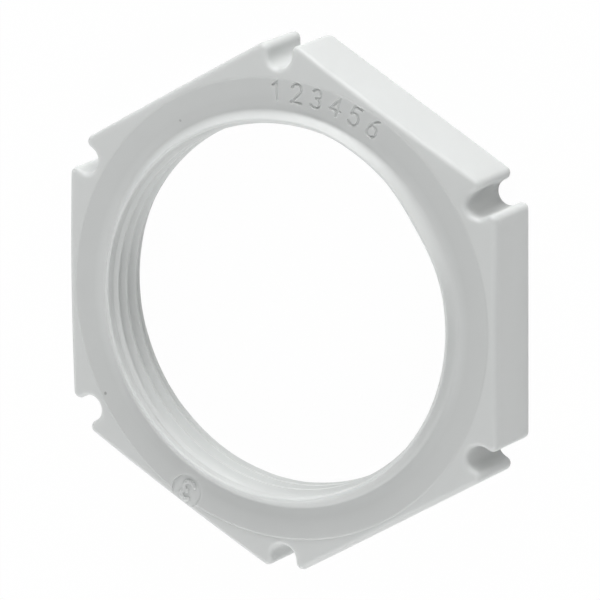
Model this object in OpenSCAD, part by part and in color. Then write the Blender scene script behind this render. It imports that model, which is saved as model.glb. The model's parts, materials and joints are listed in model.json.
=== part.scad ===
// Counter nut of a size 32 cable gland: a moulded hexagon, lying on its plain face, marked face up.
// Units are millimetres. The origin is the middle of the plain face, and +X runs to the middle of a flat.

/* [Hexagon] */
// Wall between the thread's crests and the flats
flat_wall = 4.55; // [4:0.05:5]
// Height of the marked ring above the plain face
ring_h = 6.25; // [5.5:0.05:8]
// Radius of the long edges, front and back
edge_r = 0.4; // [0.2:0.05:0.6]

/* [Marked face] */
// Distance of the raised ring's edge inside the flats
ring_margin = 0.55; // [0.4:0.05:1]
// Height of the ring above the ground round it
ring_step = 0.15; // [0.05:0.05:0.3]
// Fall of the ground from the ring to the corners, in degrees
corner_fall = 6.8; // [0:0.1:12]
// Diameter of the round mould number pad
pad_d = 2.45; // [1.5:0.05:3]
// Depth of the pad's floor below the ring
pad_depth = 0.18; // [0.1:0.01:0.3]
// Distance of the pad's middle inside the ring's edge
pad_inset = 0.7; // [0.5:0.05:1]
// Direction of the pad, counted from +X
pad_angle = 241.5; // [235:0.5:245]

/* [Bore] */
// Diameter over the crests of the thread
crest_d = 30.9; // [30.5:0.05:31]
// Depth of the thread from crest to root, half of which the lead-in opens level with the ring
thread_depth = 0.6; // [0.5:0.01:0.7]
// Height over which the bore widens from the lead-in to the lip
lead_h = 0.35; // [0.2:0.05:0.5]
// Depth of the countersink in the plain face
back_sink = 2.15; // [1:0.05:2.5]

/* [Lip] */
// Height of the rolled lip above the ring
lip_h = 0.75; // [0.3:0.05:0.9]
// Distance of the lip's inner edge outside the crests
lip_gap = 0.35; // [0.3:0.025:0.5]
// Width of the lip from its inner edge to its foot on the ring
lip_w = 1.35; // [1.2:0.025:1.6]
// Width of the rounded top of the lip
lip_top_w = 0.3; // [0.2:0.02:0.4]

/* [Corner grooves] */
// Width of the groove down each corner
groove_w = 2.45; // [1.5:0.05:3]
// Distance of the groove's floor inside the flats
groove_inset = 0.15; // [-0.4:0.05:0.3]
// Radius where a groove wall meets a flat
groove_lip_r = 0.45; // [0.2:0.05:0.6]
// Bevel round the groove's ends
groove_bevel = 0.3; // [0.1:0.05:0.4]

/* [Hidden] */
$fn = 96;
grey = [0.78, 0.79, 0.79];
sides = 6;
sector = 360 / sides;
half_sector = sector / 2;
across_flats = crest_d + 2 * flat_wall;
half_af = across_flats / 2;
corner_r = half_af / cos(half_sector);
ring_r = half_af - ring_margin;
ground_h = ring_h - ring_step;
edge_h = ground_h - ring_margin * tan(corner_fall);
total_h = ring_h + lip_h;
crest_r = crest_d / 2;
lead_r = crest_r + thread_depth / 2;
lip_r = crest_r + lip_gap;
groove_r = groove_w / 2;
groove_floor = half_af - groove_inset;
groove_at = groove_floor + groove_r;
far = 1;

// A slab across one pair of flats, its four long edges rounded.
module flats_slab() {
    rotate([90, 0, 0])
        linear_extrude(2 * corner_r, center = true) {
            translate([-half_af + edge_r, 0])
                square([across_flats - 2 * edge_r, edge_h]);
            translate([-half_af, edge_r])
                square([across_flats, edge_h - 2 * edge_r]);
            for (x = [-1, 1], z = [edge_r, edge_h - edge_r])
                translate([x * (half_af - edge_r), z])
                    circle(edge_r);
        }
}

// The hexagon with rounded edges, still solid and flat on top.
module hexagon() {
    intersection() {
        flats_slab();
        rotate(sector) flats_slab();
        rotate(2 * sector) flats_slab();
    }
}

// The ground outside the ring: a shallow cone that falls to the corners.
module ground_cone() {
    fall_w = corner_r + far - ring_r;
    rotate_extrude()
        polygon([
            [0, 0],
            [corner_r + far, 0],
            [corner_r + far, ground_h - fall_w * tan(corner_fall)],
            [ring_r, ground_h],
            [0, ground_h]
        ]);
}

// The round part of the nut inside the ring's edge.
module core() {
    cylinder(h = ring_h, r = ring_r);
}

// The lip round the thread's mouth: a hollow curve that rises from the ring to a rounded top.
module lip() {
    top_r = lip_top_w / 2;
    crown = lip_r + top_r;
    foot = lip_r + lip_w;
    sweep_w = lip_w - lip_top_w;
    sweep_h = lip_h - top_r;
    sweep_r = (sweep_w * sweep_w + sweep_h * sweep_h) / (2 * sweep_h);
    translate([0, 0, ring_h])
        rotate_extrude() {
            translate([crown, sweep_h])
                circle(top_r);
            translate([lip_r, -far])
                square([lip_top_w, far + sweep_h]);
            difference() {
                translate([lip_r, -far])
                    square([sweep_w + lip_top_w, far + sweep_h]);
                translate([foot, sweep_r])
                    circle(sweep_r);
            }
        }
}

// Everything cut away round the axis: the thread's crest cylinder, its lead-in and the back countersink.
module bore() {
    back_r = crest_r + back_sink;
    rotate_extrude()
        polygon([
            [0, -far],
            [back_r + far, -far],
            [crest_r, back_sink],
            [crest_r, ring_h - (lead_r - crest_r)],
            [lead_r, ring_h],
            [lip_r, ring_h + lead_h],
            [lip_r, total_h + far],
            [0, total_h + far]
        ]);
}

// The wedge left outside a rounded groove lip, on one side of the corner's middle line.
module lip_waste() {
    wall_y = groove_r;
    round_y = groove_r + groove_lip_r;
    round_x = (half_af - groove_lip_r - round_y * sin(half_sector)) / cos(half_sector);
    flat_x = round_x + groove_lip_r * cos(half_sector);
    flat_y = round_y + groove_lip_r * sin(half_sector);
    difference() {
        polygon([
            [round_x, wall_y],
            [corner_r + far, wall_y],
            [flat_x + far, flat_y],
            [flat_x, flat_y],
            [round_x, round_y]
        ]);
        translate([round_x, round_y])
            circle(groove_lip_r);
    }
}

// Plan of one corner groove along +X: a round floor, straight walls and rounded lips.
module groove_plan() {
    translate([groove_at, 0])
        circle(groove_r);
    translate([groove_at, -groove_r])
        square([corner_r - groove_at + far, groove_w]);
    lip_waste();
    mirror([0, 1]) lip_waste();
}

// The bevel where one end of the groove opens into a face, drawn opening upwards at z = 0.
module groove_mouth() {
    wide = groove_r + groove_bevel;
    translate([groove_at, 0, -groove_bevel])
        cylinder(h = groove_bevel + far, r1 = groove_r, r2 = wide + far);
    translate([groove_at, 0, 0])
        rotate([90, 0, 90])
            linear_extrude(corner_r - groove_at + far)
                polygon([
                    [-groove_r, -groove_bevel],
                    [groove_r, -groove_bevel],
                    [wide + far, far],
                    [-wide - far, far]
                ]);
}

// One groove down a corner, with both its ends bevelled.
module corner_groove() {
    floor_h = ground_h - (groove_floor - ring_r) * tan(corner_fall);
    translate([0, 0, -far])
        linear_extrude(total_h + 2 * far)
            groove_plan();
    translate([0, 0, floor_h])
        groove_mouth();
    mirror([0, 0, 1])
        groove_mouth();
}

// The shallow round pad for the mould number.
module number_pad() {
    rotate(pad_angle)
        translate([ring_r - pad_inset, 0, ring_h - pad_depth])
            cylinder(h = far, d = pad_d);
}

module locknut() {
    color(grey)
        difference() {
            union() {
                intersection() {
                    hexagon();
                    ground_cone();
                }
                core();
                lip();
            }
            bore();
            number_pad();
            for (i = [0 : sides - 1])
                rotate(half_sector + i * sector)
                    corner_groove();
        }
}

locknut();
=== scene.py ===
"""Looks of a cable gland locknut: one moulded piece of light grey polyamide lying on a pale floor.

Sizes in the classes are millimetres in the part's own frame, with +Z along the thread and +X to the middle
of a flat. Meshes, lamps and the camera are made in metres.
"""

import json
import logging
import math
from dataclasses import dataclass, field
from enum import Enum
from functools import cache

import bmesh
import bpy
import numpy as np
from mathutils import Matrix, Vector


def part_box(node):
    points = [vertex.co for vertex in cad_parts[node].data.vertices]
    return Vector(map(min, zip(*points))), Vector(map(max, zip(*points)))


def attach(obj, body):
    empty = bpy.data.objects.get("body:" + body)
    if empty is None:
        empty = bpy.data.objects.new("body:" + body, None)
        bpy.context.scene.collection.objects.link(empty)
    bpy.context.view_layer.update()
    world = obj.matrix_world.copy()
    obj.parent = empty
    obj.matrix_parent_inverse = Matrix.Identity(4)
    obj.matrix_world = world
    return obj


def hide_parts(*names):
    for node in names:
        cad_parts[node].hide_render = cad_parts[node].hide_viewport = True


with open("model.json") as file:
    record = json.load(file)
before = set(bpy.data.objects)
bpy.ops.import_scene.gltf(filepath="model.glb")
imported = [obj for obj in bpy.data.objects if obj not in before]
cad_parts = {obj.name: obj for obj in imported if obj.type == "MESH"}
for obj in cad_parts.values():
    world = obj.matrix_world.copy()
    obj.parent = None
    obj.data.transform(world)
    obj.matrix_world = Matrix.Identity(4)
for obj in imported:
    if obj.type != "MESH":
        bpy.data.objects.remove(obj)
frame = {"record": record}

MM = 0.001
NODE = "locknut"
BODY = "root"
SIDES = 6
SECTOR = math.tau / SIDES
log = logging.getLogger("locknut")

Point = tuple[float, float]
Stroke = list[Point]
Solid = bmesh.types.BMesh
Socket = bpy.types.NodeSocket
Step = tuple[float, float, float, float, float, float]
Colour = tuple[float, float, float, float]
FLOAT = "NodeSocketFloat"
VECTOR = "NodeSocketVector"
COLOR = "NodeSocketColor"
BLACK: Colour = (0.0, 0.0, 0.0, 1.0)
WHITE: Colour = (1.0, 1.0, 1.0, 1.0)


class Relief(Enum):
    """Whether a digit is cut into its face or stands on it."""

    ENGRAVED = "DIFFERENCE"
    RAISED = "UNION"


def arc(centre: Point, radii: Point, start_deg: float, end_deg: float, steps: int = 14) -> Stroke:
    """Return points along part of an ellipse.

    Args:
        centre: Middle of the ellipse.
        radii: Half width and half height.
        start_deg: Direction of the first point.
        end_deg: Direction of the last point.
        steps: Number of chords.

    Returns:
        The points, first to last.
    """
    angles = np.radians(np.linspace(start_deg, end_deg, steps + 1))
    return [(centre[0] + radii[0] * math.cos(a), centre[1] + radii[1] * math.sin(a)) for a in angles]


def smooth_step(value: np.ndarray | float, low: float, high: float) -> np.ndarray:
    """Return 0 below low, 1 above high and a smooth rise between them."""
    share = np.clip((value - low) / (high - low), 0.0, 1.0)
    return share * share * (3.0 - 2.0 * share)


def direction(azimuth_deg: float, elevation_deg: float) -> Vector:
    """Return the unit vector that points away from the origin at two angles."""
    turn = math.radians(azimuth_deg)
    rise = math.radians(elevation_deg)
    return Vector((math.cos(rise) * math.cos(turn), math.cos(rise) * math.sin(turn), math.sin(rise)))


def show(thing: bpy.types.Object) -> bpy.types.Object:
    """Put an object into the scene and return it."""
    bpy.context.scene.collection.objects.link(thing)
    return thing


def bell(angles: np.ndarray, middle_deg: float, spread_deg: float) -> np.ndarray:
    """Return 1 in one direction, falling smoothly to 0 away from it."""
    apart = np.mod(np.degrees(angles) - middle_deg + 180.0, 360.0) - 180.0
    return np.exp(-((apart / spread_deg) ** 2))


def circle_row(angles: np.ndarray, radius: np.ndarray | float, height: np.ndarray | float) -> np.ndarray:
    """Return a row of points round the axis, with one radius and height for all columns or one each."""
    radius = np.broadcast_to(radius, angles.shape)
    height = np.broadcast_to(height, angles.shape)
    return np.stack([radius * np.cos(angles), radius * np.sin(angles), height], axis=1)


@dataclass(frozen=True)
class Columns:
    """The columns of the skin: a direction on the ring and a place on the outline for each."""

    ring: np.ndarray
    place: np.ndarray
    inward: np.ndarray
    edge_r: np.ndarray

    def inset(self, distance: np.ndarray | float, height: np.ndarray | float) -> np.ndarray:
        """Return the row that runs inside the outline by a distance, at a height."""
        spread = np.broadcast_to(distance, self.ring.shape)[:, None]
        tall = np.broadcast_to(height, self.ring.shape)[:, None]
        return np.hstack([self.place + self.inward * spread, tall])


@dataclass(frozen=True)
class HexOutline:
    """The nut seen from above: a hexagon with a round-bottomed groove down every corner."""

    half_flats: float
    groove_half_w: float = 1.1
    groove_inset: float = -0.08
    groove_lip_r: float = 0.56
    flat_edge_r: float = 0.5
    groove_edge_r: float = 0.45
    corner_span_deg: float = 9.0
    flat_step_deg: float = 0.75
    floor_chords: int = 10
    wall_chords: int = 2
    lip_chords: int = 8
    flat_chords: int = 4
    floor_share: float = 0.575
    wall_share: float = 0.08
    lip_share: float = 0.15

    def half_corner(self) -> list[Step]:
        """Return the outline from the middle of a groove's floor to the flat beside it.

        Returns:
            Tuples of share of the corner's span on the ring, place, direction into the body and edge
            radius, where +X runs out through the corner.
        """
        half = SECTOR / 2
        groove_x = self.half_flats - self.groove_inset + self.groove_half_w
        round_y = self.groove_half_w + self.groove_lip_r
        round_x = (self.half_flats - self.groove_lip_r - round_y * math.sin(half)) / math.cos(half)
        steps = []
        for k in range(self.floor_chords + 1):
            share = k / self.floor_chords
            a = math.pi * (1.0 - share / 2)
            x = groove_x + self.groove_half_w * math.cos(a)
            y = self.groove_half_w * math.sin(a)
            steps.append((self.floor_share * share, x, y, math.cos(a), math.sin(a), self.groove_edge_r))
        reached = self.floor_share
        for k in range(1, self.wall_chords + 1):
            share = k / self.wall_chords
            x = groove_x + (round_x - groove_x) * share
            along = reached + self.wall_share * share
            steps.append((along, x, self.groove_half_w, 0.0, 1.0, self.groove_edge_r))
        reached += self.wall_share
        for k in range(1, self.lip_chords + 1):
            share = k / self.lip_chords
            a = -math.pi / 2 + share * (half + math.pi / 2)
            x = round_x + self.groove_lip_r * math.cos(a)
            y = round_y + self.groove_lip_r * math.sin(a)
            edge_r = self.groove_edge_r + share * (self.flat_edge_r - self.groove_edge_r)
            steps.append((reached + self.lip_share * share, x, y, -math.cos(a), -math.sin(a), edge_r))
        reached += self.lip_share
        start_x, start_y = steps[-1][1:3]
        span = math.radians(self.corner_span_deg)
        reach = self.half_flats / math.cos(half - span)
        for k in range(1, self.flat_chords + 1):
            share = k / self.flat_chords
            x = start_x + share * (reach * math.cos(span) - start_x)
            y = start_y + share * (reach * math.sin(span) - start_y)
            along = reached + (1.0 - reached) * share
            steps.append((along, x, y, -math.cos(half), -math.sin(half), self.flat_edge_r))
        return steps

    def sector(self) -> list[Step]:
        """Return the columns from one flat's end, round a corner and along the next flat.

        Returns:
            Tuples of ring direction, place, direction into the body and edge radius, where +X runs out
            through the corner.
        """
        span = math.radians(self.corner_span_deg)
        upper = [(share * span, *step) for share, *step in self.half_corner()]
        lower = [(-ring, x, -y, ix, -iy, r) for ring, x, y, ix, iy, r in upper[:0:-1]]
        count = round((math.degrees(SECTOR) - 2 * self.corner_span_deg) / self.flat_step_deg)
        half = SECTOR / 2
        flat = []
        for a in np.linspace(span, SECTOR - span, count + 1)[1:-1]:
            reach = self.half_flats / math.cos(half - a)
            x = reach * math.cos(a)
            y = reach * math.sin(a)
            flat.append((a, x, y, -math.cos(half), -math.sin(half), self.flat_edge_r))
        return lower + upper + flat

    def columns(self) -> Columns:
        """Return the columns all the way round, in order of their direction from +X."""
        ring, place, inward, edge_r = [], [], [], []
        for k in range(SIDES):
            turn = SECTOR / 2 + k * SECTOR
            spin = np.array([[math.cos(turn), -math.sin(turn)], [math.sin(turn), math.cos(turn)]])
            for a, x, y, ix, iy, r in self.sector():
                ring.append(a + turn)
                place.append(spin @ np.array([x, y]))
                inward.append(spin @ np.array([ix, iy]))
                edge_r.append(r)
        turns = np.mod(ring, math.tau)
        order = np.argsort(turns)
        parts = (turns, np.array(place), np.array(inward), np.array(edge_r))
        return Columns(*(part[order] for part in parts))


@dataclass(frozen=True)
class Thread:
    """The right-handed metric thread in the bore, measured from the lower edge of its first ridge."""

    crest_r: float
    depth: float = 0.6
    pitch: float = 1.5
    crest_w: float = 0.375
    root_w: float = 0.375
    corner: float = 0.05
    blunt_share: float = 1.2
    datum_deg: float = 180.0
    datum_z: float = 5.796
    runout_from_deg: float = 60.0
    runout_to_deg: float = 120.0

    def section(self) -> tuple[np.ndarray, np.ndarray]:
        """Return the rises and radii of one pitch, from a ridge's lower edge to the next one's."""
        flank = (self.pitch - self.crest_w - self.root_w) / 2
        root_r = self.crest_r + self.depth
        flank_end = self.crest_w + flank
        root_end = flank_end + self.root_w
        blunt = self.corner * self.blunt_share
        profile = [
            (0.0, self.crest_r + blunt),
            (self.corner, self.crest_r),
            (self.crest_w - self.corner, self.crest_r),
            (self.crest_w, self.crest_r + blunt),
            (flank_end - self.corner, root_r - blunt),
            (flank_end + self.corner, root_r),
            (root_end - self.corner, root_r),
            (root_end + self.corner, root_r - blunt),
        ]
        rises, radii = np.array(profile).T
        return rises, radii

    def lower_edge(self, angles: np.ndarray) -> np.ndarray:
        """Return the height of the first ridge's lower edge in each direction."""
        turns = (np.degrees(angles) - self.datum_deg) / 360.0
        return self.datum_z + self.pitch * turns

    def radius(self, angles: np.ndarray, height: np.ndarray | float) -> np.ndarray:
        """Return the wall's radius, with the gap over the first ridge running out.

        Args:
            angles: Direction of each column, from 0 to a full turn, in radians.
            height: Height above the plain face.

        Returns:
            The radius in each direction.
        """
        rises, radii = self.section()
        climb = height - self.lower_edge(angles)
        phase = np.mod(climb, self.pitch)
        wall = np.interp(phase, np.append(rises, self.pitch), np.append(radii, radii[0]))
        left = 1.0 - smooth_step(np.degrees(angles), self.runout_from_deg, self.runout_to_deg)
        share = np.where(climb > self.crest_w, left, 1.0)
        return self.crest_r + (wall - self.crest_r) * share

    def rows(self, angles: np.ndarray, low: float, high: float) -> np.ndarray:
        """Return rows that follow the helix between two heights.

        Args:
            angles: Direction of each column, from 0 to a full turn, in radians.
            low: Height where the thread begins.
            high: Height where it ends.

        Returns:
            An array of rows, one pitch more than the height holds at either end, kept within the two heights.
        """
        rises, _ = self.section()
        lowest = self.lower_edge(np.zeros(1))[0]
        first = math.floor((low - lowest) / self.pitch) - 1
        last = math.ceil((high - lowest) / self.pitch) + 1
        bands = []
        for turn in range(first, last + 1):
            for rise in rises:
                height = np.clip(self.lower_edge(angles) + turn * self.pitch + rise, low, high)
                bands.append(circle_row(angles, self.radius(angles, height), height))
        return np.array(bands)


class Skin:
    """A skin of four-sided faces, and three-sided ones where points meet, woven from rows and columns."""

    PLACES_PER_MM: float = 1e5

    def __init__(self) -> None:
        """Begin with no points and no faces."""
        self.numbers: dict[tuple[int, int, int], int] = {}
        self.points: list[tuple[float, float, float]] = []
        self.faces: list[tuple[int, ...]] = []

    def number(self, point: np.ndarray) -> int:
        """Return the number of a point, one number for points in the same place."""
        key = tuple(int(round(value * self.PLACES_PER_MM)) for value in point)
        if key not in self.numbers:
            self.numbers[key] = len(self.points)
            self.points.append(tuple(float(value) * MM for value in point))
        return self.numbers[key]

    def weave(self, rows: np.ndarray, climb: int = 0) -> None:
        """Add the faces between neighbouring rows.

        Args:
            rows: Points by row and column, the rows in order along the section.
            climb: How many rows up the last column meets the first one.
        """
        count = rows.shape[1]
        table = [[self.number(point) for point in row] for row in rows]
        for m in range(len(table) - 1):
            for c in range(count):
                lift = climb if c == count - 1 else 0
                if m + lift + 1 >= len(table):
                    continue
                beside = (c + 1) % count
                loop = (table[m][c], table[m + 1][c], table[m + lift + 1][beside], table[m + lift][beside])
                face = [n for k, n in enumerate(loop) if n != loop[k - 1]]
                if len(set(face)) == len(face) and len(face) > 2:
                    self.faces.append(tuple(face))

    def mesh(self, name: str) -> bpy.types.Mesh:
        """Return the skin as a mesh in metres."""
        mesh = bpy.data.meshes.new(name)
        mesh.from_pydata(self.points, [], self.faces)
        mesh.validate()
        return mesh


@dataclass(frozen=True)
class StrokeDigit:
    """One digit drawn with a round-nosed tool, on a face that looks along +Z."""

    digit: int
    height: float
    stroke_w: float
    radius: float
    angle_deg: float
    face_z: float
    box_w: float = 0.6

    def strokes(self) -> list[Stroke]:
        """Return the digit's strokes in a box one unit tall and box_w wide."""
        shapes = {
            1: [[(0.1, 0.78), (0.34, 1.0)], [(0.34, 1.0), (0.34, 0.0)]],
            2: [
                arc((0.3, 0.72), (0.28, 0.28), 165, -38),
                [(0.52, 0.55), (0.02, 0.0)],
                [(0.02, 0.0), (0.6, 0.0)],
            ],
            3: [arc((0.29, 0.76), (0.25, 0.24), 150, -90), arc((0.29, 0.27), (0.29, 0.27), 85, -150)],
            4: [[(0.44, 0.0), (0.44, 1.0)], [(0.44, 1.0), (0.0, 0.3)], [(0.0, 0.3), (0.6, 0.3)]],
            5: [
                [(0.54, 1.0), (0.1, 1.0)],
                [(0.1, 1.0), (0.06, 0.56)],
                arc((0.28, 0.33), (0.3, 0.33), 135, -145),
            ],
            6: [
                arc((0.3, 0.3), (0.28, 0.3), 180, 370),
                arc((0.3, 0.3), (0.28, 0.3), 0, 180),
                arc((0.66, 0.3), (0.64, 0.72), 180, 108),
            ],
        }
        return shapes[self.digit]

    def place(self, point: Point) -> Vector:
        """Return where a point of the digit lies on its face, tops outward."""
        across = (point[0] - self.box_w / 2) * self.height
        outward = self.radius + (point[1] - 0.5) * self.height
        turn = math.radians(self.angle_deg)
        out = Vector((math.cos(turn), math.sin(turn), 0.0))
        reading = Vector((math.sin(turn), -math.cos(turn), 0.0))
        return out * outward + reading * across + Vector((0.0, 0.0, self.face_z))

    def rod(self, stroke: Stroke, sides: int = 12, cap_rings: int = 3) -> Solid:
        """Return one stroke as a round-ended rod whose axis lies on the face.

        Args:
            stroke: The stroke's points in the digit's box.
            sides: Number of sides round the rod.
            cap_rings: Number of rings in each round end.

        Returns:
            The rod's mesh, in metres.
        """
        nose_r = self.stroke_w / 2
        path = [self.place(point) for point in stroke]
        starts = (path[1] - path[0]).normalized()
        ends = (path[-1] - path[-2]).normalized()
        tilts = [math.pi / 2 * k / (cap_rings + 1) for k in range(1, cap_rings + 1)]
        rings = []
        for tilt in reversed(tilts):
            rings.append((path[0] - starts * nose_r * math.sin(tilt), starts, nose_r * math.cos(tilt)))
        for k, point in enumerate(path):
            ahead = path[min(k + 1, len(path) - 1)]
            behind = path[max(k - 1, 0)]
            rings.append((point, (ahead - behind).normalized(), nose_r))
        for tilt in tilts:
            rings.append((path[-1] + ends * nose_r * math.sin(tilt), ends, nose_r * math.cos(tilt)))
        solid = bmesh.new()
        loops = []
        for centre, along, radius in rings:
            sideways = along.cross(Vector((0.0, 0.0, 1.0)))
            loop = []
            for k in range(sides):
                turn = math.tau * (k + 0.5) / sides
                offset = sideways * math.cos(turn) + Vector((0.0, 0.0, math.sin(turn)))
                loop.append(solid.verts.new((centre + offset * radius) * MM))
            loops.append(loop)
        for low, high in zip(loops, loops[1:]):
            for k in range(sides):
                after = (k + 1) % sides
                solid.faces.new((low[k], low[after], high[after], high[k]))
        solid.faces.new(loops[0][::-1])
        solid.faces.new(loops[-1])
        return solid

    def rods(self) -> list[Solid]:
        """Return every stroke of the digit as a rod."""
        return [self.rod(stroke) for stroke in self.strokes()]


@dataclass(frozen=True)
class DigitRow:
    """A plain running row of digits, engraved on the ring and read clockwise."""

    face_z: float
    digits: tuple[int, ...] = (1, 2, 3, 4, 5, 6)
    first_deg: float = 90.2
    last_deg: float = 61.0
    height: float = 1.55
    radius: float = 18.35
    stroke_w: float = 0.27
    axis_sink: float = 0.025

    def rods(self) -> list[Solid]:
        """Return the solids that engrave the row."""
        solids = []
        axis_z = self.face_z - self.axis_sink
        angles = np.linspace(self.first_deg, self.last_deg, len(self.digits))
        for digit, angle in zip(self.digits, angles):
            drawn = StrokeDigit(digit, self.height, self.stroke_w, self.radius, float(angle), axis_z)
            solids += drawn.rods()
        return solids


@dataclass(frozen=True)
class MouldPad:
    """The shallow round pad near a corner, with one raised digit on its floor."""

    ring_z: float
    ring_edge_r: float
    width: float = 2.85
    depth: float = 0.18
    inset: float = 0.7
    angle_deg: float = 241.5
    draft: float = 0.03
    digit: int = 3
    digit_h: float = 1.65
    stroke_w: float = 0.38
    clear_h: float = 1.0
    sides: int = 64

    def cutter(self) -> Solid:
        """Return the solid that sinks the pad."""
        turn = math.radians(self.angle_deg)
        reach = self.ring_edge_r - self.inset
        middle_z = self.ring_z - self.depth + self.clear_h / 2
        middle = Vector((reach * math.cos(turn), reach * math.sin(turn), middle_z))
        spread = self.draft * self.clear_h / self.depth
        solid = bmesh.new()
        bmesh.ops.create_cone(
            solid,
            cap_ends=True,
            segments=self.sides,
            radius1=(self.width / 2 - self.draft) * MM,
            radius2=(self.width / 2 - self.draft + spread) * MM,
            depth=self.clear_h * MM,
            matrix=Matrix.Translation(middle * MM),
        )
        return solid

    def rods(self) -> list[Solid]:
        """Return the solids of the digit that stands on the pad's floor."""
        reach = self.ring_edge_r - self.inset
        floor_z = self.ring_z - self.depth
        drawn = StrokeDigit(self.digit, self.digit_h, self.stroke_w, reach, self.angle_deg, floor_z)
        return drawn.rods()


class Graph:
    """A node tree being built, with short calls for its nodes and links."""

    def __init__(self, tree: bpy.types.NodeTree) -> None:
        """Begin on an empty tree."""
        self.tree = tree
        self.tree.nodes.clear()

    def feed(self, socket: Socket, value: object) -> None:
        """Link an output to a socket, or set the socket's constant."""
        if isinstance(value, Socket):
            self.tree.links.new(value, socket)
        else:
            socket.default_value = value

    def node(self, kind: str, inputs: dict[str, object] | None = None, **settings: object) -> bpy.types.Node:
        """Add a node.

        Args:
            kind: The node's type name.
            inputs: Input names, or numbers written as text, with a constant or an output to link.
            settings: Attributes of the node.

        Returns:
            The new node.
        """
        made = self.tree.nodes.new(kind)
        for name, value in settings.items():
            setattr(made, name, value)
        for name, value in (inputs or {}).items():
            self.feed(made.inputs[int(name) if name.isdigit() else name], value)
        return made

    def math(self, operation: str, first: object, second: object = 0.0, clamp: bool = False) -> Socket:
        """Add a Math node and return its output."""
        made = self.node("ShaderNodeMath", {"0": first, "1": second}, operation=operation, use_clamp=clamp)
        return made.outputs[0]

    def blend(self, share: object, first: object, second: object) -> Socket:
        """Add a colour Mix node and return its output."""
        made = self.node("ShaderNodeMix", data_type="RGBA")
        for name, value in (("Factor", share), ("A", first), ("B", second)):
            kind = "VALUE" if name == "Factor" else "RGBA"
            self.feed(next(s for s in made.inputs if s.name == name and s.type == kind), value)
        return next(s for s in made.outputs if s.type == "RGBA")

    def noise(self, place: Socket, scale: object, detail: float, roughness: float = 0.5) -> Socket:
        """Add a Noise Texture node and return its value."""
        inputs = {"Vector": place, "Scale": scale, "Detail": detail, "Roughness": roughness}
        return self.node("ShaderNodeTexNoise", inputs).outputs[0]

    def reach(self, place: Socket) -> Socket:
        """Return how far a place lies from the axis."""
        level = self.node("ShaderNodeVectorMath", {"0": place, "1": (1.0, 1.0, 0.0)}, operation="MULTIPLY")
        length = self.node("ShaderNodeVectorMath", {"0": level.outputs[0]}, operation="LENGTH")
        return length.outputs["Value"]

    def seen(self) -> Socket:
        """Return 1 for rays from the camera and those that a shiny or clear surface passes on."""
        path = self.node("ShaderNodeLightPath")
        direct = self.math("MAXIMUM", path.outputs["Is Camera Ray"], path.outputs["Is Glossy Ray"])
        return self.math("MAXIMUM", direct, path.outputs["Is Transmission Ray"])


def new_group(
    name: str, inputs: dict[str, tuple[str, object]], outputs: dict[str, str]
) -> tuple[Graph, dict, dict]:
    """Make a shader node group with named sockets.

    Args:
        name: The group's name.
        inputs: Socket names with their kind and default value.
        outputs: Socket names with their kind.

    Returns:
        The graph inside the group, its input sockets by name and its output sockets by name.
    """
    tree = bpy.data.node_groups.new(name, "ShaderNodeTree")
    graph = Graph(tree)
    for label, (kind, value) in inputs.items():
        socket = tree.interface.new_socket(name=label, in_out="INPUT", socket_type=kind)
        if value is not None:
            socket.default_value = value
    for label, kind in outputs.items():
        tree.interface.new_socket(name=label, in_out="OUTPUT", socket_type=kind)
    entry = graph.node("NodeGroupInput")
    leave = graph.node("NodeGroupOutput")
    return graph, {s.name: s for s in entry.outputs}, {s.name: s for s in leave.inputs}


def mottle_group() -> bpy.types.NodeTree:
    """Return the group for the faint uneven tone of moulded plastic."""
    graph, given, wanted = new_group(
        "mottle",
        {
            "Place": (VECTOR, None),
            "Scale": (FLOAT, 0.2),
            "Base": (COLOR, (0.5, 0.5, 0.5, 1.0)),
            "Amount": (FLOAT, 0.02),
        },
        {"Color": COLOR},
    )
    broad = graph.noise(given["Place"], given["Scale"], detail=3.0, roughness=0.55)
    centred = graph.math("SUBTRACT", broad, 0.5)
    doubled = graph.math("MULTIPLY", given["Amount"], 2.0)
    gain = graph.math("ADD", graph.math("MULTIPLY", centred, doubled), 1.0)
    scaled = graph.node("ShaderNodeVectorMath", {"0": given["Base"], "Scale": gain}, operation="SCALE")
    graph.feed(wanted["Color"], scaled.outputs[0])
    return graph.tree


@cache
def grain_group() -> bpy.types.NodeTree:
    """Return the group for the fine texture that a mould or a roller leaves."""
    graph, given, wanted = new_group(
        "fine_grain",
        {
            "Place": (VECTOR, None),
            "Scale": (FLOAT, 8.0),
            "Rough Low": (FLOAT, 0.4),
            "Rough High": (FLOAT, 0.5),
        },
        {"Height": FLOAT, "Roughness": FLOAT},
    )
    fine = graph.noise(given["Place"], given["Scale"], detail=4.0, roughness=0.6)
    slow = graph.noise(given["Place"], graph.math("MULTIPLY", given["Scale"], 0.06), detail=2.0)
    height = graph.math("ADD", graph.math("MULTIPLY", fine, 0.6), graph.math("MULTIPLY", slow, 0.4))
    spread = graph.math("SUBTRACT", given["Rough High"], given["Rough Low"])
    rough = graph.math("ADD", graph.math("MULTIPLY", slow, spread), given["Rough Low"])
    graph.feed(wanted["Height"], height)
    graph.feed(wanted["Roughness"], rough)
    return graph.tree


def grained(graph: Graph, depth_mm: float, inputs: dict[str, object]) -> tuple[Socket, Socket]:
    """Give a material the fine grain, and return its roughness and its normal."""
    grain = graph.node("ShaderNodeGroup", inputs, node_tree=grain_group())
    bump = graph.node("ShaderNodeBump", {"Distance": depth_mm * MM, "Height": grain.outputs["Height"]})
    return grain.outputs["Roughness"], bump.outputs["Normal"]


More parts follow.
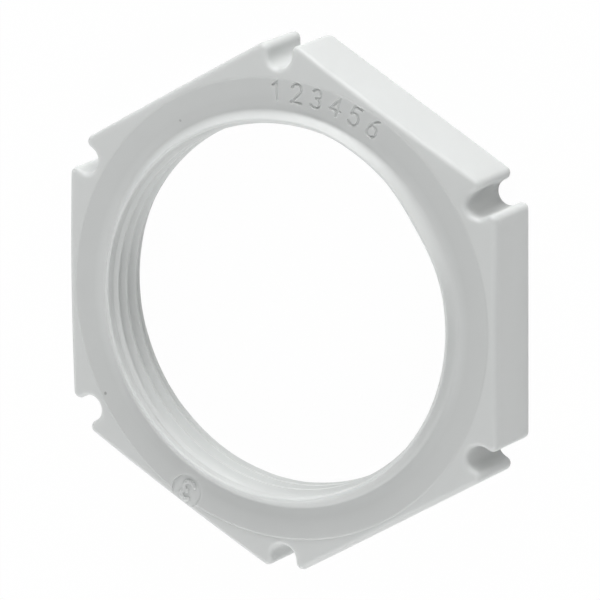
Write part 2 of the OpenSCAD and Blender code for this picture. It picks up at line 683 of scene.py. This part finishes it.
def speck_group() -> bpy.types.NodeTree:
    """Return the group for one small dark speck moulded into the surface."""
    graph, given, wanted = new_group(
        "speck",
        {
            "Place": (VECTOR, None),
            "Spot": (VECTOR, (0.0, 0.0, 0.0)),
            "Radius": (FLOAT, 0.1),
            "Strength": (FLOAT, 0.3),
            "Mask In": (FLOAT, 0.0),
        },
        {"Mask": FLOAT},
    )
    ragged = graph.noise(given["Place"], 9.0, detail=2.0)
    ends = {"0": given["Place"], "1": given["Spot"]}
    apart = graph.node("ShaderNodeVectorMath", ends, operation="DISTANCE")
    worn = graph.math("MULTIPLY", apart.outputs["Value"], graph.math("ADD", ragged, 0.5))
    inside = graph.math("SUBTRACT", 1.0, graph.math("DIVIDE", worn, given["Radius"]), clamp=True)
    sharp = graph.math("MULTIPLY", inside, 2.5, clamp=True)
    mask = graph.math("MAXIMUM", graph.math("MULTIPLY", sharp, given["Strength"]), given["Mask In"])
    graph.feed(wanted["Mask"], mask)
    return graph.tree


def ring_zone_group() -> bpy.types.NodeTree:
    """Return the group that finds a ring-shaped face round the axis, above a height."""
    graph, given, wanted = new_group(
        "ring_zone",
        {
            "Place": (VECTOR, None),
            "Inner": (FLOAT, 17.2),
            "Outer": (FLOAT, 19.4),
            "Lowest": (FLOAT, 6.0),
            "Inner Blur": (FLOAT, 0.8),
            "Outer Blur": (FLOAT, 0.1),
        },
        {"Mask": FLOAT},
    )
    reach = graph.reach(given["Place"])
    outside = graph.math("SUBTRACT", reach, given["Inner"])
    inside = graph.math("SUBTRACT", given["Outer"], reach)
    past_inner = graph.math("DIVIDE", outside, given["Inner Blur"], clamp=True)
    past_outer = graph.math("DIVIDE", inside, given["Outer Blur"], clamp=True)
    height = graph.node("ShaderNodeSeparateXYZ", {"Vector": given["Place"]}).outputs["Z"]
    above = graph.math("GREATER_THAN", height, given["Lowest"])
    mask = graph.math("MULTIPLY", graph.math("MULTIPLY", past_inner, past_outer), above)
    graph.feed(wanted["Mask"], mask)
    return graph.tree


@dataclass(frozen=True)
class Speck:
    """A dark speck on the ring, placed by its direction and distance from the axis."""

    angle_deg: float
    radius: float
    width: float
    strength: float

    def spot(self, height: float) -> tuple[float, float, float]:
        """Return the speck's place at a height, in millimetres."""
        turn = math.radians(self.angle_deg)
        return (self.radius * math.cos(turn), self.radius * math.sin(turn), height)


@dataclass(frozen=True)
class MouldedPolyamide:
    """Light grey moulded polyamide with a satin skin, a few dark specks and painted shade in two of its
    grooves.
    """

    face_z: float
    ring_inner_r: float
    ring_outer_r: float
    base: Colour = (0.62, 0.634, 0.628, 1.0)
    speck_tone: Colour = (0.08, 0.08, 0.078, 1.0)
    mottle_per_mm: float = 0.16
    mottle_share: float = 0.03
    ring_shade: float = 0.09
    ring_depth: float = 0.1
    ior: float = 1.53
    glow_weight: float = 0.5
    glow_mm: float = 0.7
    # The recess fields paint shade into the two grooves on the +X side: how far the occlusion looks in mm,
    # its samples, the painted shade's strength and the X beyond which it applies.
    recess_mm: float = 1.5
    recess_samples: int = 8
    painted_groove_shade: float = 0.6
    recess_from: float = 10.0
    rough_low: float = 0.4
    rough_high: float = 0.5
    grain_per_mm: float = 7.0
    grain_depth: float = 0.004
    specks: tuple[Speck, ...] = (
        Speck(208.5, 18.9, 0.32, 0.5),
        Speck(121.5, 17.5, 0.26, 0.3),
        Speck(219.3, 19.2, 0.08, 0.4),
    )

    def speck_mask(self, graph: Graph, place: Socket) -> Socket:
        """Return how strongly the specks together darken each place."""
        mask = 0.0
        group = speck_group()
        for speck in self.specks:
            dot = graph.node(
                "ShaderNodeGroup",
                {
                    "Place": place,
                    "Spot": speck.spot(self.face_z),
                    "Radius": speck.width / 2,
                    "Strength": speck.strength,
                    "Mask In": mask,
                },
                node_tree=group,
            )
            mask = dot.outputs["Mask"]
        return mask

    def painted_groove_shade_mask(self, graph: Graph, place: Socket) -> Socket:
        """Return the painted shade in the two grooves on the +X side, darker the more enclosed each spot in
        them is.
        """
        enclosed = graph.node(
            "ShaderNodeAmbientOcclusion",
            {"Distance": self.recess_mm * MM},
            samples=self.recess_samples,
            only_local=True,
        )
        outer = graph.math("GREATER_THAN", graph.reach(place), self.ring_outer_r)
        along = graph.node("ShaderNodeSeparateXYZ", {"0": place}).outputs["X"]
        near_side = graph.math("GREATER_THAN", along, self.recess_from)
        depth = graph.math("SUBTRACT", 1.0, enclosed.outputs["AO"])
        shade = graph.math("MULTIPLY", depth, self.painted_groove_shade)
        return graph.math("MULTIPLY", shade, graph.math("MULTIPLY", outer, near_side))

    def material(self) -> bpy.types.Material:
        """Return the finished material."""
        made = bpy.data.materials.new("light_grey_polyamide")
        made.use_nodes = True
        graph = Graph(made.node_tree)
        object_place = graph.node("ShaderNodeTexCoord").outputs["Object"]
        scaled = graph.node("ShaderNodeVectorMath", {"0": object_place, "Scale": 1 / MM}, operation="SCALE")
        place = scaled.outputs[0]
        mottle = graph.node(
            "ShaderNodeGroup",
            {"Place": place, "Base": self.base, "Scale": self.mottle_per_mm, "Amount": self.mottle_share},
            node_tree=mottle_group(),
        )
        grain = {
            "Place": place,
            "Scale": self.grain_per_mm,
            "Rough Low": self.rough_low,
            "Rough High": self.rough_high,
        }
        roughness, normal = grained(graph, self.grain_depth, grain)
        zone = graph.node(
            "ShaderNodeGroup",
            {
                "Place": place,
                "Inner": self.ring_inner_r,
                "Outer": self.ring_outer_r,
                "Lowest": self.face_z - self.ring_depth,
            },
            node_tree=ring_zone_group(),
        )
        shade = graph.math("MULTIPLY", zone.outputs["Mask"], self.ring_shade)
        textured = graph.blend(shade, mottle.outputs["Color"], BLACK)
        # Painted shade: the grooves on the +X side darken by ambient occlusion.
        textured = graph.blend(self.painted_groove_shade_mask(graph, place), textured, BLACK)
        colour = graph.blend(self.speck_mask(graph, place), textured, self.speck_tone)
        shader = graph.node(
            "ShaderNodeBsdfPrincipled",
            {
                "Base Color": colour,
                "Roughness": roughness,
                "Normal": normal,
                "IOR": self.ior,
                "Metallic": 0.0,
                "Subsurface Weight": self.glow_weight,
                "Subsurface Radius": (1.0, 1.0, 1.0),
                "Subsurface Scale": self.glow_mm * MM,
            },
        )
        graph.node("ShaderNodeOutputMaterial", {"Surface": shader.outputs["BSDF"]})
        return made


@dataclass(frozen=True)
class PaleFloor:
    """A matt white floor that lights the nut from below and looks almost pure white to the camera."""

    tone: Colour = (0.95, 0.95, 0.95, 1.0)
    seen_share: float = 0.98
    grain_per_m: float = 900.0
    grain_depth: float = 0.004

    def material(self) -> bpy.types.Material:
        """Return the floor's material."""
        made = bpy.data.materials.new("pale_floor")
        made.use_nodes = True
        graph = Graph(made.node_tree)
        place = graph.node("ShaderNodeTexCoord").outputs["Object"]
        _, normal = grained(graph, self.grain_depth, {"Place": place, "Scale": self.grain_per_m})
        matt = graph.node("ShaderNodeBsdfDiffuse", {"Color": self.tone, "Normal": normal})
        white = graph.node("ShaderNodeEmission", {"Color": WHITE, "Strength": 1.0})
        share = graph.math("MULTIPLY", graph.seen(), self.seen_share)
        mixed = graph.node("ShaderNodeMixShader", {"0": share, "1": matt.outputs[0], "2": white.outputs[0]})
        graph.node("ShaderNodeOutputMaterial", {"Surface": mixed.outputs[0]})
        return made


@dataclass
class Locknut:
    """The whole nut, one skin with its thread, lip, ring, grooves and marks.

    The lip's top is out of round in a few places, each given by its direction, its spread in degrees and how
    far it leans outward. The ring's edge is soft, and crisper and higher towards one direction. The gaps keep
    rows apart where two faces meet, and the shares place the rows between two edges.
    """

    half_flats: float
    total_h: float
    crest_r: float
    lip_h: float = 0.75
    lip_gap: float = 0.35
    lip_w: float = 1.35
    lip_top_w: float = 0.3
    lip_foot_cut: float = 0.35
    crown_end_deg: float = 30.0
    lip_waves: tuple[tuple[float, float, float], ...] = ((33.0, 13.0, -0.32), (76.0, 12.0, 0.16))
    lead_h: float = 0.35
    back_sink: float = 2.15
    ring_margin: float = 0.55
    ring_step: float = 0.05
    ring_slope_w: float = 0.2
    crisp_deg: float = 272.0
    crisp_spread: float = 32.0
    crisp_step: float = 0.08
    crisp_narrowing: float = 0.35
    corner_fall_deg: float = 6.8
    edge_gap: float = 0.02
    foot_gap: float = 0.05
    slope_gap: float = 0.1
    brink_gap: float = 0.01
    sharp_deg: float = 40.0
    ground_shares: tuple[float, ...] = (0.0, 0.25, 0.5, 0.75, 1.0)
    side_shares: tuple[float, ...] = (0.02, 0.5, 0.98)
    back_shares: tuple[float, ...] = (0.0, 0.03, 0.5, 1.0)
    lead_chords: int = 13
    crown_chords: int = 8
    sweep_chords: int = 12
    edge_chords: int = 6
    sink_chords: int = 9
    outline: HexOutline = field(init=False)
    thread: Thread = field(init=False)
    columns: Columns = field(init=False)

    def __post_init__(self) -> None:
        """Work out the thread, the outline and the columns from the sizes."""
        self.outline = HexOutline(self.half_flats)
        self.thread = Thread(self.crest_r)
        self.columns = self.outline.columns()

    @property
    def ring_z(self) -> float:
        """Height of the ring's face."""
        return self.total_h - self.lip_h

    @property
    def ring_edge_r(self) -> float:
        """Radius of the ring's outer edge."""
        return self.half_flats - self.ring_margin

    @property
    def lead_r(self) -> float:
        """Radius of the lead-in, level with the ring."""
        return self.crest_r + self.thread.depth / 2

    @property
    def lead_z(self) -> float:
        """Height where the lead-in begins."""
        return self.ring_z - (self.lead_r - self.crest_r)

    @property
    def lip_r(self) -> float:
        """Inner radius of the lip."""
        return self.crest_r + self.lip_gap

    @property
    def lip_foot_r(self) -> float:
        """Radius where the lip's hollow side meets the ring."""
        return self.lip_r + self.lip_w - self.lip_foot_cut

    @property
    def turns(self) -> np.ndarray:
        """Direction of each column, from 0 to a full turn."""
        return self.columns.ring

    def bore_wall(self, height: float) -> np.ndarray:
        """Return the radii of the smooth cones and the thread together at a height."""
        heights = [0.0, self.back_sink, self.lead_z, self.ring_z, self.ring_z + self.lead_h]
        radii = [self.crest_r + self.back_sink, self.crest_r, self.crest_r, self.lead_r, self.lip_r]
        cone = float(np.interp(height, heights, radii))
        return np.maximum(cone, self.thread.radius(self.turns, height))

    def lean(self) -> np.ndarray:
        """Return how far the lip's top stands out of round in each direction, outward counted up."""
        waves = [amount * bell(self.turns, middle, spread) for middle, spread, amount in self.lip_waves]
        return np.sum(waves, axis=0)

    def mouth_band(self) -> np.ndarray:
        """Return the rows from the thread's top to the inner edge of the lip."""
        end_z = self.ring_z + self.lead_h
        rows = []
        for height in np.linspace(self.lead_z, end_z, self.lead_chords + 1):
            rows.append(circle_row(self.turns, self.bore_wall(height), height))
        top_z = self.total_h - self.lip_top_w / 2
        for height in (end_z + self.edge_gap, (end_z + top_z) / 2, top_z - self.edge_gap):
            lean = self.lean() * (height - end_z) / (top_z - end_z)
            rows.append(circle_row(self.turns, self.lip_r + lean, height))
        return np.array(rows)

    def lip_band(self) -> np.ndarray:
        """Return the rows over the lip's round top and down its hollow side to the ring."""
        top_r = self.lip_top_w / 2
        crown = self.lip_r + top_r
        lean = self.lean()
        rows = []
        for a in np.radians(np.linspace(180.0, self.crown_end_deg, self.crown_chords + 1)):
            height = self.total_h - top_r + top_r * math.sin(a)
            rows.append(circle_row(self.turns, crown + lean + top_r * math.cos(a), height))
        crown_end = math.radians(self.crown_end_deg)
        start_r = crown + top_r * math.cos(crown_end)
        start_h = self.lip_h - top_r + top_r * math.sin(crown_end)
        for share in np.linspace(0.0, 1.0, self.sweep_chords + 1)[1:]:
            radius = start_r + (self.lip_foot_r - start_r) * share + lean * (1.0 - share)
            rows.append(circle_row(self.turns, radius, self.ring_z + start_h * (1.0 - share) ** 2))
        return np.array(rows)

    def crisp_share(self, turns: np.ndarray) -> np.ndarray:
        """Return how near each direction is to where the ring's edge is at its crispest, from 0 to 1."""
        return bell(turns, self.crisp_deg, self.crisp_spread)

    def ring_band(self) -> np.ndarray:
        """Return the rows across the flat ring and down the small step at its edge."""
        crisp = self.crisp_share(self.turns)
        slope_w = self.ring_slope_w * (1.0 - self.crisp_narrowing * crisp)
        step = self.ring_step + self.crisp_step * crisp
        steps = [
            (self.lip_r + self.lip_w + self.foot_gap, self.ring_z),
            (self.ring_edge_r - self.ring_slope_w - self.slope_gap, self.ring_z),
        ]
        for share in np.linspace(0.0, 1.0, self.edge_chords + 1):
            fall = step * smooth_step(share, 0.0, 1.0)
            steps.append((self.ring_edge_r - slope_w * (1.0 - share), self.ring_z - fall))
        return np.array([circle_row(self.turns, radius, height) for radius, height in steps])

    def ground_height(self, row: np.ndarray) -> np.ndarray:
        """Return the height of the falling ground under each point of a row."""
        reach = np.hypot(row[:, 0], row[:, 1])
        fall = (reach - self.ring_edge_r) * math.tan(math.radians(self.corner_fall_deg))
        step = self.ring_step + self.crisp_step * self.crisp_share(np.arctan2(row[:, 1], row[:, 0]))
        return self.ring_z - step - fall

    def side_band(self) -> np.ndarray:
        """Return the rows over the ground, round the outer edges and down the sides to the plain face."""
        rows = []
        inner = circle_row(self.turns, self.ring_edge_r + self.brink_gap, 0.0)
        brink = self.columns.inset(self.columns.edge_r, 0.0)
        for share in self.ground_shares:
            row = inner + (brink - inner) * share
            row[:, 2] = self.ground_height(row)
            rows.append(row)
        brink_z = self.ground_height(brink)
        for a in np.linspace(0.0, math.pi / 2, self.edge_chords + 1)[1:]:
            distance = self.columns.edge_r * (1.0 - math.sin(a))
            height = brink_z - self.columns.edge_r * (1.0 - math.cos(a))
            rows.append(self.columns.inset(distance, height))
        shoulder = brink_z - self.columns.edge_r
        foot = self.columns.edge_r
        for share in self.side_shares:
            rows.append(self.columns.inset(0.0, shoulder + (foot - shoulder) * share))
        for a in np.linspace(math.pi / 2, 0.0, self.edge_chords + 1):
            distance = foot * (1.0 - math.sin(a))
            rows.append(self.columns.inset(distance, foot * (1.0 - math.cos(a))))
        return np.array(rows)

    def back_band(self) -> np.ndarray:
        """Return the rows across the plain face and up its countersink."""
        rows = []
        outer = self.columns.inset(self.columns.edge_r, 0.0)
        mouth_r = self.crest_r + self.back_sink
        inner = circle_row(self.turns, mouth_r + self.foot_gap, 0.0)
        for share in self.back_shares:
            rows.append(outer + (inner - outer) * share)
        rows.append(circle_row(self.turns, mouth_r, self.edge_gap))
        deep = self.back_sink - self.thread.depth
        rows.append(circle_row(self.turns, self.bore_wall(deep), deep))
        for height in np.linspace(deep, self.back_sink, self.sink_chords + 1)[1:]:
            rows.append(circle_row(self.turns, self.bore_wall(height), height))
        return np.array(rows)

    def skin(self) -> bpy.types.Mesh:
        """Return the nut's skin before its marks."""
        rises, _ = self.thread.section()
        skin = Skin()
        skin.weave(self.thread.rows(self.turns, self.back_sink, self.lead_z), climb=len(rises))
        bands = (self.mouth_band(), self.lip_band(), self.ring_band(), self.side_band(), self.back_band())
        skin.weave(np.concatenate(bands))
        return skin.mesh("locknut_skin")

    def carve(self, body: bpy.types.Object, tool: Solid, relief: Relief) -> None:
        """Cut a solid into the body or stand it on the body.

        Args:
            body: The object that changes.
            tool: The solid, in metres; it is used up.
            relief: Whether the solid is cut away or added.
        """
        bmesh.ops.recalc_face_normals(tool, faces=tool.faces)
        mesh = bpy.data.meshes.new("tool")
        tool.to_mesh(mesh)
        tool.free()
        helper = show(bpy.data.objects.new("tool", mesh))
        change = body.modifiers.new("carve", "BOOLEAN")
        change.operation = relief.value
        change.solver = "EXACT"
        change.object = helper
        bpy.context.view_layer.update()
        shaped = body.evaluated_get(bpy.context.evaluated_depsgraph_get())
        result = bpy.data.meshes.new_from_object(shaped)
        body.modifiers.clear()
        body.data = result
        bpy.data.objects.remove(helper)
        bpy.data.meshes.remove(mesh)

    def build(self) -> bpy.types.Object:
        """Build the nut, mark it, dress it and return it as one object."""
        body = show(bpy.data.objects.new("locknut_moulding", self.skin()))
        pad = MouldPad(self.ring_z, self.ring_edge_r)
        self.carve(body, pad.cutter(), Relief.ENGRAVED)
        for rod in pad.rods():
            self.carve(body, rod, Relief.RAISED)
        for rod in DigitRow(self.ring_z).rods():
            self.carve(body, rod, Relief.ENGRAVED)
        body.data.name = "locknut_moulding"
        body.data.polygons.foreach_set("use_smooth", [True] * len(body.data.polygons))
        body.data.set_sharp_from_angle(angle=math.radians(self.sharp_deg))
        body.data.materials.clear()
        finish = MouldedPolyamide(self.ring_z, self.lip_foot_r, self.ring_edge_r)
        body.data.materials.append(finish.material())
        body.data.polygons.foreach_set("material_index", [0] * len(body.data.polygons))
        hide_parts(NODE)
        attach(body, BODY)
        return body


@dataclass(frozen=True)
class Softbox:
    """One rectangular lamp that looks at the nut."""

    name: str
    azimuth_deg: float
    elevation_deg: float
    watts: float
    distance: float = 0.6
    width: float = 0.35
    height: float = 0.35

    def build(self) -> bpy.types.Object:
        """Place the lamp and return it."""
        data = bpy.data.lights.new(self.name, "AREA")
        data.shape = "RECTANGLE"
        data.size = self.width
        data.size_y = self.height
        data.energy = self.watts
        lamp = bpy.data.objects.new(self.name, data)
        away = direction(self.azimuth_deg, self.elevation_deg)
        lamp.location = away * self.distance
        lamp.rotation_euler = away.to_track_quat("Z", "Y").to_euler()
        return show(lamp)


@dataclass(frozen=True)
class Studio:
    """The floor, the lamps, the surrounding light and the camera, which aims at a place in millimetres."""

    floor_w: float = 4.0
    floor_cells: int = 8
    floor_gap_mm: float = 0.01
    sky: float = 0.15
    lens_mm: float = 480.0
    sensor_mm: float = 36.0
    aim: tuple[float, float, float] = (-0.956, -0.431, 0.98)
    camera_azimuth_deg: float = 26.114
    camera_elevation_deg: float = 58.034
    camera_roll_deg: float = 113.002
    camera_distance: float = 660.4
    clip_m: tuple[float, float] = (0.01, 20.0)
    lamps: tuple[Softbox, ...] = (
        Softbox("key", 90.0, 10.0, 3.0),
        Softbox("key_top", 90.0, 35.0, 0.85),
        Softbox("side", 50.0, 35.0, 0.46),
        Softbox("far", 270.0, 35.0, 1.3),
        Softbox("far_side", 310.0, 35.0, 0.86),
        Softbox("low_left", 200.0, 12.0, 0.75),
        Softbox("low_far", 240.0, 12.0, 0.66),
    )

    def floor(self) -> bpy.types.Object:
        """Lay the floor under the nut and return it."""
        grid = bmesh.new()
        cells = self.floor_cells
        bmesh.ops.create_grid(grid, x_segments=cells, y_segments=cells, size=self.floor_w / 2)
        mesh = bpy.data.meshes.new("floor")
        grid.to_mesh(mesh)
        grid.free()
        floor = bpy.data.objects.new("floor", mesh)
        floor.location.z = -self.floor_gap_mm * MM
        mesh.materials.append(PaleFloor().material())
        show(floor)
        return floor

    def surroundings(self) -> bpy.types.World:
        """Light the scene evenly from all sides and show the camera white beyond the floor."""
        world = bpy.data.worlds.new("white_room")
        world.use_nodes = True
        graph = Graph(world.node_tree)
        strength = graph.math("ADD", graph.math("MULTIPLY", graph.seen(), 1.0 - self.sky), self.sky)
        light = graph.node("ShaderNodeBackground", {"Color": WHITE, "Strength": strength})
        graph.node("ShaderNodeOutputWorld", {"Surface": light.outputs[0]})
        bpy.context.scene.world = world
        return world

    def camera(self) -> bpy.types.Object:
        """Place the camera at the photograph's viewing angle and return it."""
        data = bpy.data.cameras.new("camera")
        data.lens = self.lens_mm
        data.sensor_width = self.sensor_mm
        data.clip_start, data.clip_end = self.clip_m
        turn = math.radians(self.camera_azimuth_deg)
        away = direction(self.camera_azimuth_deg, self.camera_elevation_deg)
        camera = bpy.data.objects.new("camera", data)
        right = Vector((-math.sin(turn), math.cos(turn), 0.0))
        upright = away.cross(right)
        basis = Matrix((right, upright, away)).transposed()
        roll = Matrix.Rotation(math.radians(-self.camera_roll_deg), 3, "Z")
        camera.matrix_world = Matrix.LocRotScale(
            (Vector(self.aim) + away * self.camera_distance) * MM, (basis @ roll).to_quaternion(), None
        )
        bpy.context.scene.camera = show(camera)
        return camera

    def build(self) -> None:
        """Set up the whole studio."""
        self.camera()
        self.floor()
        self.surroundings()
        for lamp in self.lamps:
            lamp.build()
        bpy.context.scene.view_settings.view_transform = "Standard"


def mount(name: str) -> dict:
    """Return one of the record's mounts by its name."""
    return next(entry for entry in frame["record"]["mounts"] if entry["name"] == name)


def main() -> None:
    """Build the nut and its studio in order and report each piece."""
    logging.basicConfig(level=logging.INFO, format="%(name)s: %(message)s")
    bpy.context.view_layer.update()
    Studio().build()
    log.info("studio: camera, floor and lamps")
    low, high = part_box(NODE)
    nut = Locknut(
        half_flats=(high[0] - low[0]) / 2 / MM,
        total_h=(high[2] - low[2]) / MM,
        crest_r=mount("thread")["dims"]["r_mm"],
    )
    body = nut.build()
    body.data.calc_loop_triangles()
    log.info("%s: %d triangles", body.name, len(body.data.loop_triangles))


if __name__ == "__main__":
    main()
